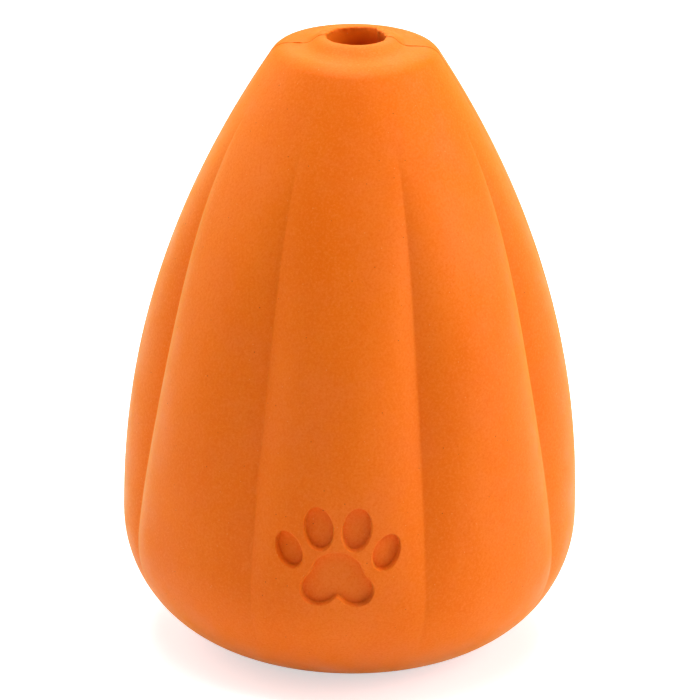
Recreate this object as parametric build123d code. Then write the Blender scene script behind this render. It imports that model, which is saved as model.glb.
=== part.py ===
from build123d import *
import os
from math import atan, cos, degrees, pi, radians, sin, sqrt

# Hollow fluted chew toy of moulded rubber, standing on its flat foot with the mouth upwards.
# The axis is +Z, one lobe faces -Y, and the seam between the two halves lies in the XZ plane.
# All lengths are in millimetres.

# Outside form
total_height = 126.8        # foot to the top of the lip
belly_radius = 46.2         # widest part, on the crown of a lobe
belly_height = 26.8         # height of the widest part
foot_radius = 19.3          # outer edge of the flat ring that the toy stands on
shoulder_radius = 16.9      # where the tapered side starts to round over into the dish
shoulder_drop = 1.9         # height of that rounding
taper_power = 2.12          # how the side leans in above the belly, 2 being a parabola

# Flutes
lobe_count = 8
groove_depth = 3.6          # crown of a lobe to the bottom of a groove, where it is deepest
flute_foot_height = 6.0     # the grooves fade out at this height
flute_top_gap = 7.1         # and this far below the shoulder
front_angle = -90.0         # the lobe that faces the front, degrees

# Mouth, with a raised lip in a shallow dish
mouth_radius = 5.9
mouth_edge_width = 0.4      # the lip falls in to the mouth over this width
mouth_edge_drop = 0.3       # and by this height
lip_height = 1.8            # lip above the dish
lip_top_width = 0.3         # level top of the lip
lip_flank_width = 4.0       # the lip runs out into the level dish over this width
lip_waist_share = 0.4       # where its S-shaped flank is steepest, as a share of that width
neck_length = 15.0          # straight bore below the top of the lip

# Treat chamber and the hole in the base that fills it
chamber_wall = 13.5         # chamber to the crown of a lobe, at the belly of the chamber
chamber_belly_height = 36.0
base_hole_radius = 13.0
base_edge_round = 1.5
base_thickness = 10.0       # rubber around the hole in the base

# Seam between the halves
bond_thickness = 0.3        # film of cement that joins the halves

overrun = 1.0               # how far cutting shapes pass the faces they cut

# Sections that carry the loft of the outside
base_section_count = 6
side_section_count = 9

dish_height = total_height - lip_height
shoulder_height = dish_height - shoulder_drop
flute_top_height = shoulder_height - flute_top_gap
neck_height = total_height - neck_length
lip_edge_radius = mouth_radius + mouth_edge_width
lip_crown_radius = lip_edge_radius + lip_top_width
lip_waist_radius = lip_crown_radius + lip_waist_share * lip_flank_width
lip_foot_radius = lip_crown_radius + lip_flank_width


def crown_radius(height):
    # Outside radius on the crown of a lobe: a quarter oval up to the belly, then the taper.
    if height < belly_height:
        drop_share = 1 - height / belly_height
        return foot_radius + (belly_radius - foot_radius) * sqrt(1 - drop_share**2)
    climb_share = (height - belly_height) / (shoulder_height - belly_height)
    return belly_radius - (belly_radius - shoulder_radius) * climb_share**taper_power


def flute_depth(height):
    # The grooves swell from nothing to full depth and fade away again.
    climb_share = (height - flute_foot_height) / (flute_top_height - flute_foot_height)
    if climb_share <= 0 or climb_share >= 1:
        return 0
    return groove_depth * sin(pi * climb_share) ** 2


def polar(radius, angle):
    return (radius * cos(radians(angle)), radius * sin(radians(angle)))


def lobed_section(height):
    # Ring of convex arcs, one to a lobe, that meet in the grooves.
    crown = crown_radius(height)
    groove = crown - flute_depth(height)
    half_lobe = 180 / lobe_count
    arcs = []
    for lobe in range(lobe_count):
        middle = front_angle + 2 * half_lobe * lobe
        start = polar(groove, middle - half_lobe)
        end = polar(groove, middle + half_lobe)
        arcs.append(ThreePointArc(start, polar(crown, middle), end))
    return Pos(0, 0, height) * make_face(arcs)


def fluted_body():
    # Loft through lobed sections, evenly spread round the base and up the side.
    side_rise = shoulder_height - belly_height
    heights = []
    for step in range(base_section_count):
        heights.append(belly_height * (1 - cos(pi / 2 * step / base_section_count)))
    for step in range(side_section_count + 1):
        heights.append(belly_height + side_rise * step / side_section_count)
    return loft([lobed_section(height) for height in heights])


def cap():
    # Top of the toy: the rounded shoulder, the level dish, and the lip with its S-shaped flank.
    side_rise = shoulder_height - belly_height
    lean = atan(taper_power * (belly_radius - shoulder_radius) / side_rise)
    shoulder_round = shoulder_drop / (1 - sin(lean))
    dish_radius = shoulder_radius - shoulder_round * cos(lean)
    shoulder = CenterArc(
        (dish_radius, dish_height - shoulder_round), shoulder_round, degrees(lean), 90 - degrees(lean)
    )
    flank = Bezier(
        (lip_foot_radius, dish_height),
        (lip_waist_radius, dish_height),
        (lip_waist_radius, total_height),
        (lip_crown_radius, total_height),
    )
    outline = [
        Polyline((0, total_height), (0, shoulder_height), shoulder @ 0),
        shoulder,
        Line(shoulder @ 1, flank @ 0),
        flank,
        Line(flank @ 1, (0, total_height)),
    ]
    return revolve(Plane.XZ * make_face(outline), Axis.Z)


def hollow():
    # Mouth, neck, treat chamber and base hole, as the one space that they form.
    chamber_radius = crown_radius(chamber_belly_height) - chamber_wall
    base_edge = CenterArc(
        (base_hole_radius + base_edge_round, base_edge_round), base_edge_round, 180, 90
    )
    chamber_floor = EllipticalCenterArc(
        (base_hole_radius, chamber_belly_height),
        chamber_radius - base_hole_radius,
        chamber_belly_height - base_thickness,
        270,
        arc_size=90,
    )
    chamber_side = Bezier(
        (chamber_radius, chamber_belly_height),
        (chamber_radius, (chamber_belly_height + neck_height) / 2),
        (mouth_radius, neck_height),
    )
    mouth_edge = EllipticalCenterArc(
        (lip_edge_radius, total_height - mouth_edge_drop),
        mouth_edge_width,
        mouth_edge_drop,
        90,
        arc_size=90,
    )
    outline = [
        base_edge,
        Line(base_edge @ 0, chamber_floor @ 0),
        chamber_floor,
        chamber_side,
        Line(chamber_side @ 1, mouth_edge @ 1),
        mouth_edge,
        Polyline(
            mouth_edge @ 0,
            (mouth_edge @ 0) + (0, overrun),
            (0, total_height + overrun),
            (0, -overrun),
            (base_edge @ 1) - (0, overrun),
            base_edge @ 1,
        ),
    ]
    return revolve(Plane.XZ * make_face(outline), Axis.Z)


def block(depth, front_y):
    # Block as wide and tall as the toy, reaching back by the depth from a plane square to Y.
    width = 2 * (belly_radius + overrun)
    height = total_height + 2 * overrun
    full = Box(width, depth, height, align=(Align.CENTER, Align.MIN, Align.MIN))
    return Pos(0, front_y, -overrun) * full


body = fluted_body() + cap() - hollow()
half_depth = belly_radius + overrun
half_bond = bond_thickness / 2
left_bond, right_bond = (body & block(bond_thickness, -half_bond)).solids().sort_by(Axis.X)

pieces = {
    "front_half": body & block(half_depth, -half_bond - half_depth),
    "rear_half": body & block(half_depth, half_bond),
    "left_seam_bond": left_bond,
    "right_seam_bond": right_bond,
}

os.makedirs("parts", exist_ok=True)
for name, shape in pieces.items():
    export_step(shape, f"parts/{name}.step")
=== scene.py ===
from math import atan, atan2, cos, exp, hypot, pi, radians, sin, sqrt

import bmesh
import bpy
from mathutils import Matrix, Vector, noise


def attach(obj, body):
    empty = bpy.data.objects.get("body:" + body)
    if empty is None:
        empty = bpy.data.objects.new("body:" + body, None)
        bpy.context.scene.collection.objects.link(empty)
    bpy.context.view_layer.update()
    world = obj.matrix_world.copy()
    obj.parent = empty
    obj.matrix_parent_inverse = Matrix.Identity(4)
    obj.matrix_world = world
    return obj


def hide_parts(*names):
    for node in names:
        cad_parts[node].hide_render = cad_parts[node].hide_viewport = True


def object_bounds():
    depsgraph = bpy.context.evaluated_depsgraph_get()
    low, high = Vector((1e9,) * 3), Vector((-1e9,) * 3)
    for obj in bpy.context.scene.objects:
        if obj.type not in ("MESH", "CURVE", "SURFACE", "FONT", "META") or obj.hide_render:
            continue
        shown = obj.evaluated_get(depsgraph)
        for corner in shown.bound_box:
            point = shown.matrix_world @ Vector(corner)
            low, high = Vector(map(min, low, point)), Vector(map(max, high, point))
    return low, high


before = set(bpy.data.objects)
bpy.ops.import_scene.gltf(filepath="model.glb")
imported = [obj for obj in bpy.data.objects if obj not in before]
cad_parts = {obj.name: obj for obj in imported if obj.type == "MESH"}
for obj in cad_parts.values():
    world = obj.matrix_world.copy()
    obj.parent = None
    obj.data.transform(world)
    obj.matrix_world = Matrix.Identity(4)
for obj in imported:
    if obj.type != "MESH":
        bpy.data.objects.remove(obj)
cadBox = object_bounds()
toyHeight = cadBox[1].z
print("frame loaded, toy height", round(toyHeight, 4))

scene = bpy.context.scene
white = (1, 1, 1, 1)
tiny = 1e-6

# outside of the rubber, in metres
shell = {
    "bellyRadius": 0.0462,      # widest part, on the crown of a lobe
    "bellyHeight": 0.0268,
    "footRadius": 0.0193,
    "shoulderRadius": 0.0169,
    "shoulderDrop": 0.0019,
    "taperPower": 2.12,
    "lobes": 8,
    "grooveDepth": 0.0036,
    "grooveRound": 0.00012,     # softness of the line at the bottom of a groove
    "crownFullness": 2.3,       # 2 makes a lobe a plain arc, more flattens its crown
    "fullnessGain": 0.55,       # how much fuller the lobes get where the grooves fade
    "fluteFoot": 0.006,
    "fluteTopGap": 0.0071,
    "skin": 0.0002,             # a point this near to the outside belongs to it
    "columnsPerLobe": 36,
    "columnCrowding": 0.4,      # how far the columns gather at the grooves
}

# mouth and lip
mouth = {
    "radius": 0.0059,
    "edgeWidth": 0.0004,        # the lip falls in to the mouth over this width
    "edgeDrop": 0.0003,
    "lipHeight": 0.0018,
    "lipTop": 0.0003,           # level top of the lip
    "lipFlank": 0.004,          # the lip runs out into the level dish over this width
    "lipWaistShare": 0.4,       # where its flank is steepest, as a share of that width
    "lipSpread": 0.0024,        # how much wider its flank is away from the seam
    "neckLength": 0.015,
}

# treat chamber and the hole under it
chamber = {
    "wall": 0.0135,
    "bellyHeight": 0.036,
    "holeRadius": 0.013,
    "holeEdge": 0.0015,
    "baseThickness": 0.01,
}

# rows of the mesh along each stretch of the outline
rows = {
    "holeEdge": 6,
    "foot": 4,
    "base": 36,
    "side": 88,
    "shoulder": 12,
    "dish": 4,
    "lipFlank": 18,
    "lipTop": 1,
    "mouthEdge": 9,
    "trimmed": 6,
    "neck": 12,
    "chamberSide": 36,
    "chamberFloor": 20,
    "hole": 5,
}

dishHeight = toyHeight - mouth["lipHeight"]
shoulderHeight = dishHeight - shell["shoulderDrop"]
fluteTop = shoulderHeight - shell["fluteTopGap"]
neckHeight = toyHeight - mouth["neckLength"]
halfLobe = pi / shell["lobes"]
baseWidth = shell["bellyRadius"] - shell["footRadius"]
sideWidth = shell["bellyRadius"] - shell["shoulderRadius"]
sideRise = shoulderHeight - shell["bellyHeight"]
lean = atan(shell["taperPower"] * sideWidth / sideRise)
shoulderRound = shell["shoulderDrop"] / (1 - sin(lean))
dishRadius = shell["shoulderRadius"] - shoulderRound * cos(lean)
lipEdge = mouth["radius"] + mouth["edgeWidth"]
lipCrown = lipEdge + mouth["lipTop"]
lipWaist = lipCrown + mouth["lipWaistShare"] * mouth["lipFlank"]
lipFoot = lipCrown + mouth["lipFlank"]


def crownRadius(z):
    # a quarter oval up to the belly, then the taper
    if z < shell["bellyHeight"]:
        drop = 1 - max(z, 0) / shell["bellyHeight"]
        return shell["footRadius"] + baseWidth * sqrt(1 - drop * drop)
    climb = (z - shell["bellyHeight"]) / sideRise
    return shell["bellyRadius"] - sideWidth * climb ** shell["taperPower"]


def fluteDepth(z):
    climb = (z - shell["fluteFoot"]) / (fluteTop - shell["fluteFoot"])
    if climb <= 0 or climb >= 1:
        return 0.0
    return shell["grooveDepth"] * sin(pi * climb) ** 2


def lobeRadius(angle, z):
    # each lobe falls from its crown to the grooves, softened where two of them meet
    crown, depth = crownRadius(z), fluteDepth(z)
    if depth < tiny:
        return crown
    off = (angle + halfLobe) % (2 * halfLobe) - halfLobe
    share = max(1 - hypot(1 - abs(off) / halfLobe, shell["grooveRound"] / (crown * halfLobe)), 0)
    fullness = shell["crownFullness"] * (shell["grooveDepth"] / depth) ** shell["fullnessGain"]
    return crown - depth * share ** fullness


def quarter(centre, width, height, start):
    def place(share):
        turn = radians(start + 90 * share)
        return centre[0] + width * cos(turn), centre[1] + height * sin(turn)
    return place


def straight(start, end):
    def place(share):
        return tuple(near + (far - near) * share for near, far in zip(start, end))
    return place


def shellOutline():
    # closed outline of the wall: the hole's edge, the outside, dish, lip and mouth, then down the inside
    chamberRadius = crownRadius(chamber["bellyHeight"]) - chamber["wall"]
    holeRadius, holeEdge = chamber["holeRadius"], chamber["holeEdge"]
    footEdge = holeRadius + holeEdge
    edgeHeight = toyHeight - mouth["edgeDrop"]
    trimHeight = edgeHeight - trim["rippleReach"]

    def base(share):
        turn = pi / 2 * share
        return shell["footRadius"] + baseWidth * sin(turn), shell["bellyHeight"] * (1 - cos(turn))

    def side(share):
        z = shell["bellyHeight"] + sideRise * share
        return crownRadius(z), z

    def shoulder(share):
        turn = lean + (pi / 2 - lean) * share
        return dishRadius + shoulderRound * cos(turn), dishHeight + shoulderRound * (sin(turn) - 1)

    def lipFlank(share):
        back = 1 - share
        radius = back ** 3 * lipFoot + 3 * share * back * lipWaist + share ** 3 * lipCrown
        return radius, dishHeight + mouth["lipHeight"] * share * share * (1 + 2 * back)

    def chamberSide(share):
        back = 1 - share
        z = chamber["bellyHeight"] + (neckHeight - chamber["bellyHeight"]) * back
        return chamberRadius - (chamberRadius - mouth["radius"]) * back * back, z

    def chamberFloor(share):
        turn = pi / 2 * share
        width = chamberRadius - holeRadius
        drop = chamber["bellyHeight"] - chamber["baseThickness"]
        return holeRadius + width * cos(turn), chamber["bellyHeight"] - drop * sin(turn)

    stretches = {
        "holeEdge": quarter((footEdge, holeEdge), holeEdge, holeEdge, 180),
        "foot": straight((footEdge, 0), (shell["footRadius"], 0)),
        "base": base,
        "side": side,
        "shoulder": shoulder,
        "dish": straight((dishRadius, dishHeight), (lipFoot, dishHeight)),
        "lipFlank": lipFlank,
        "lipTop": straight((lipCrown, toyHeight), (lipEdge, toyHeight)),
        "mouthEdge": quarter((lipEdge, edgeHeight), mouth["edgeWidth"], mouth["edgeDrop"], 90),
        "trimmed": straight((mouth["radius"], edgeHeight), (mouth["radius"], trimHeight)),
        "neck": straight((mouth["radius"], trimHeight), (mouth["radius"], neckHeight)),
        "chamberSide": chamberSide,
        "chamberFloor": chamberFloor,
        "hole": straight((holeRadius, chamber["baseThickness"]), (holeRadius, holeEdge)),
    }
    # each stretch ends where the next one starts, so its last point is left out
    return [place(row / rows[name]) for name, place in stretches.items() for row in range(rows[name])]


# paw print sunk into the front lobe; pads as (across, up, half width, half height, tilt in degrees)
paw = {
    "height": 0.0331,
    "depth": 0.0016,
    "edge": 0.0001,             # half the width of the slope around a pad
    "blend": 0.0016,            # the ovals of the palm melt together over this distance
    "patchAngle": radians(16),  # half angle and half height of the finer mesh
    "patchHeight": 0.0118,
    "cuts": 10,
    "palm": [
        (0, -0.0024, 0.0050, 0.0042, 0),
        (-0.0037, -0.0060, 0.0036, 0.0034, 20),
        (0.0037, -0.0060, 0.0036, 0.0034, -20),
    ],
    "toes": [
        (-0.0098, 0.0017, 0.0026, 0.0038, 24),
        (-0.0038, 0.0065, 0.0029, 0.0044, 8),
        (0.0038, 0.0065, 0.0029, 0.0044, -8),
        (0.0098, 0.0017, 0.0026, 0.0038, -24),
    ],
}


def padDistance(across, up, pad):
    # about how far a point lies outside a tilted oval
    padAcross, padUp, halfWidth, halfHeight, tiltDegrees = pad
    tilt = radians(tiltDegrees)
    x, y = across - padAcross, up - padUp
    x, y = x * cos(tilt) + y * sin(tilt), y * cos(tilt) - x * sin(tilt)
    reach = hypot(x / halfWidth, y / halfHeight)
    slope = hypot(x / halfWidth ** 2, y / halfHeight ** 2)
    return reach * (reach - 1) / max(slope, tiny)


def pawDepth(across, up):
    # the three ovals of the palm melt into one pad, the toes stay apart
    palm = [padDistance(across, up, pad) for pad in paw["palm"]]
    distance = palm[0]
    for other in palm[1:]:
        mix = max(paw["blend"] - abs(distance - other), 0) / paw["blend"]
        distance = min(distance, other) - mix * mix * paw["blend"] / 4
    distance = min([distance] + [padDistance(across, up, pad) for pad in paw["toes"]])
    share = min(max((paw["edge"] - distance) / (2 * paw["edge"]), 0), 1)
    return paw["depth"] * share * share * (3 - 2 * share)


def crowdColumns(bm):
    # gathers the columns of the mesh at the grooves
    crowding = shell["columnCrowding"]
    for vert in bm.verts:
        angle, radius = atan2(vert.co.y, vert.co.x), hypot(vert.co.x, vert.co.y)
        lobe = round(angle / (2 * halfLobe)) * 2 * halfLobe
        share = (angle - lobe) / halfLobe
        angle = lobe + halfLobe * (share * (1 + crowding) - crowding * share ** 3)
        vert.co.x, vert.co.y = radius * cos(angle), radius * sin(angle)


def refinePatch(bm):
    # finer mesh where the paw print goes
    edges = set()
    for face in bm.faces:
        middle = face.calc_center_median()
        onSkin = hypot(middle.x, middle.y) > crownRadius(middle.z) - chamber["wall"] / 2
        ahead = abs(atan2(middle.x, -middle.y)) < paw["patchAngle"]
        level = abs(middle.z - paw["height"]) < paw["patchHeight"]
        if onSkin and ahead and level:
            edges.update(face.edges)
    bmesh.ops.subdivide_edges(bm, edges=list(edges), cuts=paw["cuts"], use_grid_fill=True)


def raiseLobes(bm, withPaw):
    # moves the skin to its lobes and sinks the paw print
    for vert in bm.verts:
        x, y, z = vert.co
        radius = hypot(x, y)
        angle = atan2(y, x)
        if 0 < z < shoulderHeight and abs(radius - crownRadius(z)) < shell["skin"]:
            radius = lobeRadius(angle, z)
            if withPaw:
                radius -= pawDepth((angle + pi / 2) * crownRadius(z), z - paw["height"])
        vert.co.x, vert.co.y = radius * cos(angle), radius * sin(angle)


def spreadLip(bm):
    # the flank of the lip is steepest at the seam and runs out wider towards front and rear
    for vert in bm.verts:
        radius = hypot(vert.co.x, vert.co.y)
        if vert.co.z > dishHeight - tiny and lipCrown < radius < dishRadius:
            aside = 1 - (1 - abs(vert.co.y) / radius) ** 2
            foot = lipFoot + mouth["lipSpread"] * aside
            if radius < lipFoot:
                wide = lipCrown + (radius - lipCrown) * (foot - lipCrown) / (lipFoot - lipCrown)
            else:
                wide = dishRadius - (dishRadius - radius) * (dishRadius - foot) / (dishRadius - lipFoot)
            vert.co.x *= wide / radius
            vert.co.y *= wide / radius


def bell(offset, width):
    return exp(-(offset / width) ** 2)


# front of the dish, which sags towards its edge
dish = {
    "sag": 0.00046,
    "sagRadius": 0.0148,        # where it is deepest
    "sagWidth": 0.00235,
    "sagFoot": 0.008,           # it ends this far below the shoulder
    "sagFocus": 3,              # how fast it fades from the front towards the seam
}


def sagDish(bm):
    # the dish falls gently to a tighter shoulder at the front, and is as turned beside the seam
    for vert in bm.verts:
        radius = hypot(vert.co.x, vert.co.y)
        if vert.co.y < 0 and vert.co.z > shoulderHeight - dish["sagFoot"] and radius > lipCrown:
            forward = (-vert.co.y / radius) ** dish["sagFocus"]
            vert.co.z -= dish["sag"] * forward * bell(radius - dish["sagRadius"], dish["sagWidth"])


# edge of the mouth, trimmed by hand: rippled, most of all at the rear, with a flake torn out
trim = {
    "reach": 0.009,             # the edge is uneven out to this radius
    "rippleOut": 0.0004,        # unevenness outwards
    "rippleDown": 0.0005,       # and downwards
    "rippleScale": 1000,
    "rippleShift": 9,           # keeps the two apart in the noise
    "rippleFade": 4,            # how fast both fade away from the mouth
    "rippleReach": 0.0008,      # they end at this depth below the lip
    "rippleFront": 0.3,         # how uneven the front is, as a share of the rear
    "flakeDepth": 0.00095,
    "flakeStart": radians(56),  # steep end of the flake
    "flakeEnd": radians(92),    # thin end
    "flakeSteep": radians(2.5),     # width of the steep end at the lip
    "flakeBlur": 0.0004,        # it is twice as wide at this depth
    "flakeReach": 0.0045,       # the flake ends at this depth below the lip
    "flakeFade": 1.5,           # how fast it fades on the way down
}


def flakeDepth(angle, drop):
    depth = trim["flakeDepth"] * (1 - drop / trim["flakeReach"]) ** trim["flakeFade"]
    if angle < trim["flakeStart"]:
        steep = trim["flakeSteep"] * (1 + max(drop, 0) / trim["flakeBlur"])
        return depth * bell(trim["flakeStart"] - angle, steep)
    return depth * max((trim["flakeEnd"] - angle) / (trim["flakeEnd"] - trim["flakeStart"]), 0)


def trimMouth(bm):
    shift = Vector((0, 0, trim["rippleShift"]))
    for vert in bm.verts:
        radius, angle = hypot(vert.co.x, vert.co.y), atan2(vert.co.y, vert.co.x)
        drop = toyHeight - vert.co.z
        if drop < trim["flakeReach"] and radius < trim["reach"]:
            near = 1 - max(radius - mouth["radius"], 0) / (trim["reach"] - mouth["radius"])
            uneven = near ** trim["rippleFade"] * max(1 - drop / trim["rippleReach"], 0)
            if vert.co.y < 0:
                uneven *= trim["rippleFront"]
            spot = Vector((cos(angle), sin(angle), 0)) * mouth["radius"] * trim["rippleScale"]
            wide = radius + flakeDepth(angle, drop) * near
            wide += uneven * trim["rippleOut"] * noise.noise(spot)
            vert.co.x, vert.co.y = wide * cos(angle), wide * sin(angle)
            vert.co.z -= uneven * trim["rippleDown"] * max(noise.noise(spot + shift), 0)


# joint between the halves
seam = {
    "bond": 0.0003,
    "fade": 0.004,              # the halves draw back from the joint over this depth
    "edgeRound": 0.0001,
    "edgeSegments": 2,
    "bondInset": 0.00006,
    "bondWander": 0.00025,      # unevenness of the film along the top
    "wanderScale": 350,
    "step": 0.00005,            # the front half sits this much lower at the top
    "topLean": 0.01,            # the top leans forwards by this slope
    "stepFoot": 0.1,            # both start at this height
    "nickFoot": 0.0005,         # the nicks end this far below the dish
    "nicks": [                  # along the top: place across, width and depth
        (-0.0116, 0.0006, 0.0003),
        (0.0112, 0.0009, 0.00012),
        (0.0133, 0.0004, 0.0001),
        (-0.007, 0.0006, 0.00006),
        (0.0068, 0.0006, 0.0001),
    ],
}


def seamNick(x):
    return sum(deep * bell(x - across, width) for across, width, deep in seam["nicks"])


def openSeam(bm, side):
    # draws the half back from the plane of the joint by half the bond, and leans its top
    for vert in bm.verts:
        depth = abs(vert.co.y)
        gap = seam["bond"] / 2
        if vert.co.z > dishHeight - seam["nickFoot"]:
            gap += seamNick(vert.co.x)
        vert.co.y = side * (depth + gap * max(1 - depth / seam["fade"], 0))
        climb = (vert.co.z - seam["stepFoot"]) / (shoulderHeight - seam["stepFoot"])
        rise = seam["topLean"] * side * depth - (seam["step"] if side < 0 else 0)
        vert.co.z += rise * min(max(climb, 0), 1)


def addPiece(name, bm):
    mesh = bpy.data.meshes.new(name)
    bm.to_mesh(mesh)
    bm.free()
    piece = bpy.data.objects.new(name, mesh)
    scene.collection.objects.link(piece)
    print(name, len(mesh.vertices), "vertices")
    return piece


def halfShell(name, outline, side):
    # side is -1 for the front half, 1 for the rear one
    bm = bmesh.new()
    ring = [bm.verts.new((radius, 0, z)) for radius, z in outline]
    rim = [bm.edges.new((ring[step - 1], ring[step])) for step in range(len(ring))]
    columns = shell["lobes"] * shell["columnsPerLobe"] // 2
    spun = bmesh.ops.spin(bm, geom=ring + rim, axis=(0, 0, 1), angle=side * pi, steps=columns)
    lastRim = [item for item in spun["geom_last"] if isinstance(item, bmesh.types.BMEdge)]
    crowdColumns(bm)
    if side < 0:
        refinePatch(bm)
    raiseLobes(bm, side < 0)
    spreadLip(bm)
    sagDish(bm)
    trimMouth(bm)
    openSeam(bm, side)
    caps = []
    for loop in (rim, lastRim):
        caps += bmesh.ops.contextual_create(bm, geom=loop)["faces"]
    bmesh.ops.recalc_face_normals(bm, faces=bm.faces)
    edges = list({edge for cap in caps for edge in cap.edges})
    bevelled = bmesh.ops.bevel(bm, geom=edges, offset=seam["edgeRound"], offset_type="OFFSET",
                               segments=seam["edgeSegments"], profile=0.5, affect="EDGES",
                               clamp_overlap=True, material=-1)
    for face in bm.faces:
        face.smooth = True
    for face in bevelled["faces"]:
        for edge in face.edges:
            edge.smooth = False
    return addPiece(name, bm)


def seamBond(name, outline, side):
    # film of cement between the halves, a little short of every surface; side is -1 left, 1 right
    bm = bmesh.new()
    ring = [bm.verts.new((side * radius, -seam["bond"] / 2, z)) for radius, z in outline]
    face = bm.faces.new(ring)
    bmesh.ops.inset_region(bm, faces=[face], thickness=seam["bondInset"], use_even_offset=True)
    bmesh.ops.delete(bm, geom=[other for other in bm.faces if other is not face], context="FACES")
    for vert in face.verts:
        if vert.co.z > shoulderHeight:
            wander = abs(noise.noise(Vector((vert.co.x * seam["wanderScale"], 0, 0))))
            vert.co.z -= seam["bondWander"] * wander + seamNick(vert.co.x)
    grown = bmesh.ops.extrude_face_region(bm, geom=[face])
    lid = [item for item in grown["geom"] if isinstance(item, bmesh.types.BMVert)]
    bmesh.ops.translate(bm, verts=lid, vec=(0, seam["bond"], 0))
    bmesh.ops.recalc_face_normals(bm, faces=bm.faces)
    return addPiece(name, bm)


def setSockets(node, values):
    for key, value in values.items():
        node.inputs[key].default_value = value


def addNode(tree, kind, values=None, **settings):
    node = tree.nodes.new(kind)
    for key, value in settings.items():
        setattr(node, key, value)
    setSockets(node, values or {})
    return node


def newMaterial(name):
    material = bpy.data.materials.new(name)
    material.use_nodes = True
    tree = material.node_tree
    return material, tree, tree.nodes["Principled BSDF"]


def noiseBy(tree, coords, scale, detail=2.0, roughness=0.5):
    values = {"Scale": scale, "Detail": detail, "Roughness": roughness}
    node = addNode(tree, "ShaderNodeTexNoise", values)
    tree.links.new(coords, node.inputs["Vector"])
    return node.outputs["Fac"]


def remap(tree, value, low, high, start=0.0, end=1.0):
    values = {"From Min": low, "From Max": high, "To Min": start, "To Max": end}
    node = addNode(tree, "ShaderNodeMapRange", values)
    tree.links.new(value, node.inputs["Value"])
    return node.outputs["Result"]


def mixColour(tree, share, first, second):
    # sockets 0, 6 and 7 of a Mix node are its share and its two colours
    node = addNode(tree, "ShaderNodeMix", data_type="RGBA")
    for socket, value in zip((node.inputs[0], node.inputs[6], node.inputs[7]), (share, first, second)):
        if isinstance(value, bpy.types.NodeSocket):
            tree.links.new(value, socket)
        else:
            socket.default_value = value
    return node.outputs[2]


def mathBy(tree, operation, first, second):
    node = addNode(tree, "ShaderNodeMath", operation=operation)
    tree.links.new(first, node.inputs[0])
    tree.links.new(second, node.inputs[1])
    return node.outputs[0]


def bumpBy(tree, height, strength, distance):
    node = addNode(tree, "ShaderNodeBump", {"Strength": strength, "Distance": distance})
    tree.links.new(height, node.inputs["Height"])
    return node


def mottle(tree, pattern, share, colour, pale, deep, middle=0.5, spread=0.2):
    # paler where the noise is high and deeper where it is low
    colour = mixColour(tree, remap(tree, pattern, middle, middle + spread, 0, share), colour, pale)
    return mixColour(tree, remap(tree, pattern, middle, middle - spread, 0, share), colour, deep)


def specks(tree, coords, scale, size, kept, core=0.5, strong=0.9):
    # a speck in some of the cells of a Voronoi pattern, solid in its core, and most of them strong
    node = addNode(tree, "ShaderNodeTexVoronoi", {"Scale": scale})
    tree.links.new(coords, node.inputs["Vector"])
    spot = remap(tree, node.outputs["Distance"], size, size * core)
    chosen = addNode(tree, "ShaderNodeSeparateColor")
    tree.links.new(node.outputs["Color"], chosen.inputs[0])
    pick = remap(tree, chosen.outputs[0], 1 - kept, 1 - kept * strong)
    return mathBy(tree, "MULTIPLY", spot, pick)


# inside of the neck: painted bounce light, a brighter and redder colour near the top, and painted shade
# further down that reaches higher on the right; depths are below the lip
paintedThroat = {
    "colour": (0.95, 0.180, 0.004, 1),
    "edge": (1.25, 1.1),        # where it starts and is full, as shares of the mouth's radius
    "depths": (0.0003, 0.0012),     # and how deep
    "shadeColour": (0.62, 0.065, 0.0005, 1),
    "shadeShare": 0.85,
    "shadeDepths": (0.0014, 0.0036),
    "shadeTilt": 0.4,           # the painted shade climbs towards the right by this slope
}


def paintThroatLightAndShade(tree, coords, colour):
    place = addNode(tree, "ShaderNodeSeparateXYZ")
    tree.links.new(coords, place.inputs[0])
    flat = addNode(tree, "ShaderNodeCombineXYZ")
    tree.links.new(place.outputs["X"], flat.inputs["X"])
    tree.links.new(place.outputs["Y"], flat.inputs["Y"])
    radius = addNode(tree, "ShaderNodeVectorMath", operation="LENGTH")
    tree.links.new(flat.outputs[0], radius.inputs[0])
    inside = remap(tree, radius.outputs["Value"], *[mouth["radius"] * share for share in paintedThroat["edge"]])
    below = remap(tree, place.outputs["Z"], *[toyHeight - depth for depth in paintedThroat["depths"]])
    bounceMask = mathBy(tree, "MULTIPLY", inside, below)
    # painted bounce light: a brighter, redder colour inside the neck stands in for light bouncing round
    # it
    colour = mixColour(tree, bounceMask, colour, paintedThroat["colour"])

    # painted shade: darker deeper down the neck, and higher up on the right wall, which the lamps light
    # less
    tilted = addNode(tree, "ShaderNodeMath", {1: -paintedThroat["shadeTilt"]}, operation="MULTIPLY_ADD")
    tree.links.new(place.outputs["X"], tilted.inputs[0])
    tree.links.new(place.outputs["Z"], tilted.inputs[2])
    heights = [toyHeight - depth for depth in paintedThroat["shadeDepths"]]
    shadeMask = remap(tree, tilted.outputs[0], *heights, 0, paintedThroat["shadeShare"])
    return mixColour(tree, mathBy(tree, "MULTIPLY", bounceMask, shadeMask), colour, paintedThroat["shadeColour"])


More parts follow.
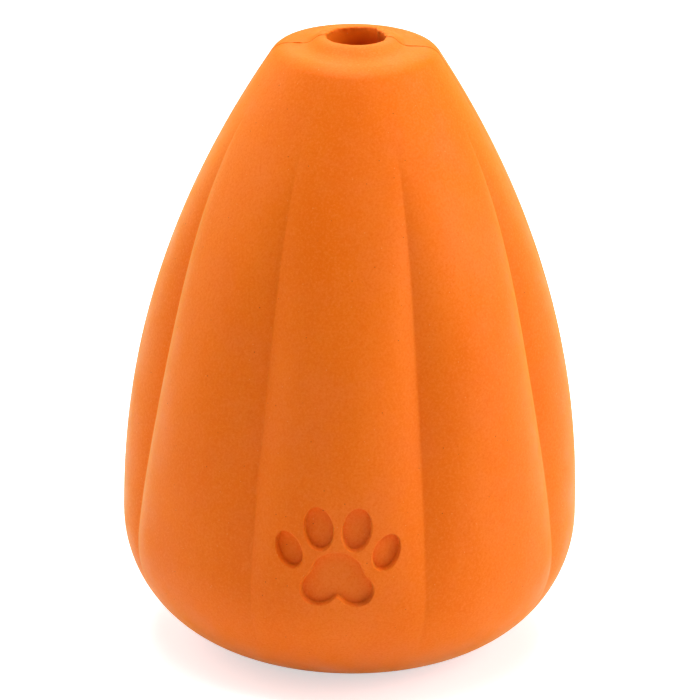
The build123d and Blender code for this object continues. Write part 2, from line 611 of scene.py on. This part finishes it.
# finish of the rubber: colours are linear, patterns are the scale, detail and roughness of a noise
rubber = {
    "colour": (0.87, 0.168, 0.005, 1),
    "blotches": (75, 3.0, 0.55),
    "smear": 0.3,                       # blotches are drawn out upwards, 1 being round
    "blotchShare": 0.9,
    "pale": (0.89, 0.188, 0.012, 1),
    "deep": (0.85, 0.150, 0.002, 1),
    "bloom": (0.87, 0.178, 0.028, 1),   # dusty film that rubber sweats out
    "film": (70, 5.0, 0.65),
    "filmRange": (0.45, 0.75),          # where in the noise the film starts and is full
    "filmShare": 0.6,
    "grain": (2100, 3.0, 0.7),
    "grainShare": 0.8,
    "grainPale": (0.91, 0.20, 0.026, 1),
    "grainDeep": (0.83, 0.137, 0.001, 1),
    "lightSpecks": (520, 0.08, 0.6),    # scale, size, and share of the cells with a speck
    "lightSpeck": (0.90, 0.26, 0.06, 1),
    "darkSpecks": (430, 0.06, 0.55),
    "darkSpeck": (0.45, 0.07, 0.006, 1),
    "gloss": (160, 3.0),
    "glossRange": (0.3, 0.7),
    "roughness": (0.46, 0.62),
    "specular": 0.10,
    "scatter": 0.15,                    # share of the light that spreads inside the rubber
    "scatterReach": (0.001, 0.0003, 0.0001),
    "sheen": 0.34,
    "sheenRoughness": 0.4,
    "sheenTint": (0.15, 0.55, 0.075, 1),
    "grainBump": (0.35, 0.00004),       # strength and height
    "waves": (180, 2.0),
    "waveBump": (0.3, 0.0002),
}


def rubberMaterial():
    material, tree, shader = newMaterial("orange_rubber")
    coords = addNode(tree, "ShaderNodeTexCoord").outputs["Object"]

    drawn = addNode(tree, "ShaderNodeMapping", {"Scale": (1, 1, rubber["smear"])})
    tree.links.new(coords, drawn.inputs["Vector"])
    blotches = noiseBy(tree, drawn.outputs["Vector"], *rubber["blotches"])
    film = noiseBy(tree, coords, *rubber["film"])
    grain = noiseBy(tree, coords, *rubber["grain"])
    filmed = remap(tree, film, *rubber["filmRange"], 0, rubber["filmShare"])
    colour = mottle(tree, blotches, rubber["blotchShare"],
                    rubber["colour"], rubber["pale"], rubber["deep"])
    colour = mixColour(tree, filmed, colour, rubber["bloom"])
    colour = mottle(tree, grain, rubber["grainShare"],
                    colour, rubber["grainPale"], rubber["grainDeep"])
    # painted bounce light and painted shade inside the neck
    colour = paintThroatLightAndShade(tree, coords, colour)
    colour = mixColour(tree, specks(tree, coords, *rubber["lightSpecks"]), colour, rubber["lightSpeck"])
    colour = mixColour(tree, specks(tree, coords, *rubber["darkSpecks"]), colour, rubber["darkSpeck"])
    tree.links.new(colour, shader.inputs["Base Color"])

    gloss = noiseBy(tree, coords, *rubber["gloss"])
    roughness = remap(tree, gloss, *rubber["glossRange"], *rubber["roughness"])
    tree.links.new(roughness, shader.inputs["Roughness"])
    setSockets(shader, {
        "Specular IOR Level": rubber["specular"],
        "Subsurface Weight": rubber["scatter"],
        "Subsurface Radius": rubber["scatterReach"],
        "Subsurface Scale": 1.0,
        "Sheen Weight": rubber["sheen"],
        "Sheen Roughness": rubber["sheenRoughness"],
        "Sheen Tint": rubber["sheenTint"],
    })

    waves = bumpBy(tree, noiseBy(tree, coords, *rubber["waves"]), *rubber["waveBump"])
    bump = bumpBy(tree, grain, *rubber["grainBump"])
    tree.links.new(waves.outputs["Normal"], bump.inputs["Normal"])
    tree.links.new(bump.outputs["Normal"], shader.inputs["Normal"])
    return material


# finish of the bond, deeper in colour than the rubber
cement = {
    "deep": (0.76, 0.120, 0.002, 1),
    "pale": (0.86, 0.150, 0.003, 1),
    "grain": (900, 2.0),
    "roughness": 0.6,
}


def bondMaterial():
    material, tree, shader = newMaterial("bond_rubber")
    coords = addNode(tree, "ShaderNodeTexCoord").outputs["Object"]
    grain = noiseBy(tree, coords, *cement["grain"])
    tree.links.new(mixColour(tree, grain, cement["deep"], cement["pale"]), shader.inputs["Base Color"])
    setSockets(shader, {"Roughness": cement["roughness"], "Specular IOR Level": rubber["specular"]})
    return material


def buildToy():
    outline = shellOutline()
    orange = rubberMaterial()
    bond = bondMaterial()
    plan = (
        (halfShell("front_shell", outline, -1), "front_half", "orange_rubber", orange),
        (halfShell("rear_shell", outline, 1), "rear_half", "orange_rubber", orange),
        (seamBond("left_bond", outline, -1), "left_seam_bond", "bond_rubber", bond),
        (seamBond("right_bond", outline, 1), "right_seam_bond", "bond_rubber", bond),
    )
    for piece, node, slot, material in plan:
        piece.data.materials.append(material)
        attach(piece, "root")
        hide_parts(node)
    print("toy built")


toyMiddle = Vector((0, 0, toyHeight / 2))


def direction(azimuth, elevation):
    # from the toy outwards; azimuth in degrees from the front to the right
    turn, climb = radians(azimuth), radians(elevation)
    return Vector((sin(turn) * cos(climb), -cos(turn) * cos(climb), sin(climb)))


# camera, from the outline of the toy in the 700 pixel picture
view = {
    "pixels": 700,
    "distance": 1.0,
    "azimuth": 2.82,
    "elevation": 20.09,
    "roll": 0.81,
    "focalPixels": 4940.5,
    "middleAt": (351.83, 336.49),   # where the middle of the toy's axis falls
    "sensor": 36.0,
    "clipEnd": 50,
}


def addCamera():
    data = bpy.data.cameras.new("camera")
    data.sensor_width = view["sensor"]
    data.lens = view["sensor"] * view["focalPixels"] / view["pixels"]
    data.clip_end = view["clipEnd"]
    camera = bpy.data.objects.new("camera", data)
    scene.collection.objects.link(camera)
    back = direction(view["azimuth"], view["elevation"])
    turn = back.to_track_quat("Z", "Y").to_matrix() @ Matrix.Rotation(radians(view["roll"]), 3, "Z")
    centre = view["pixels"] / 2
    perPixel = view["distance"] / view["focalPixels"]
    across, down = view["middleAt"]
    slip = Vector(((centre - across) * perPixel, (down - centre) * perPixel, 0))
    camera.matrix_world = turn.to_4x4()
    camera.location = toyMiddle + back * view["distance"] + turn @ slip
    scene.camera = camera
    print("camera set")


# studio light and floor; lamps as azimuth, elevation, size and power
studio = {
    "world": 0.23,
    "floor": (0.88, 0.88, 0.88, 1),
    "floorSize": 30,
    "floorRoughness": 0.9,
    "floorSpecular": 0.1,
    "floorGlow": 0.6,           # white that the floor shows the camera besides its own shading
    "lampDistance": 0.9,
    "lamps": {
        "right_box": (88, 22, 0.7, 5.3),
        "left_box": (-108, 30, 0.7, 3.1),
        "back_box": (180, 45, 0.6, 2.5),
        "top_box": (180, 88, 0.7, 8.8),
    },
}


def addLamp(name, azimuth, elevation, size, power):
    data = bpy.data.lights.new(name, "AREA")
    data.size = size
    data.energy = power
    lamp = bpy.data.objects.new(name, data)
    scene.collection.objects.link(lamp)
    out = direction(azimuth, elevation)
    lamp.location = toyMiddle + out * studio["lampDistance"]
    lamp.rotation_euler = out.to_track_quat("Z", "Y").to_euler()


def floorMaterial():
    # the glow shows to the camera and in reflections, and adds no diffuse light
    material, tree, shader = newMaterial("floor")
    setSockets(shader, {
        "Base Color": studio["floor"],
        "Roughness": studio["floorRoughness"],
        "Specular IOR Level": studio["floorSpecular"],
        "Emission Color": white,
    })
    path = addNode(tree, "ShaderNodeLightPath")
    seen = path.outputs["Is Camera Ray"]
    for kind in ("Is Glossy Ray", "Is Transmission Ray"):
        seen = mathBy(tree, "MAXIMUM", seen, path.outputs[kind])
    tree.links.new(remap(tree, seen, 0, 1, 0, studio["floorGlow"]), shader.inputs["Emission Strength"])
    return material


def addStudio():
    world = bpy.data.worlds.new("studio")
    world.use_nodes = True
    setSockets(world.node_tree.nodes["Background"], {"Color": white, "Strength": studio["world"]})
    scene.world = world
    for name, values in studio["lamps"].items():
        addLamp(name, *values)

    bm = bmesh.new()
    bmesh.ops.create_grid(bm, x_segments=1, y_segments=1, size=studio["floorSize"] / 2)
    floor = addPiece("floor", bm)
    floor.data.materials.append(floorMaterial())
    print("studio ready")


buildToy()
addCamera()
addStudio()
scene.view_settings.view_transform = "Standard"
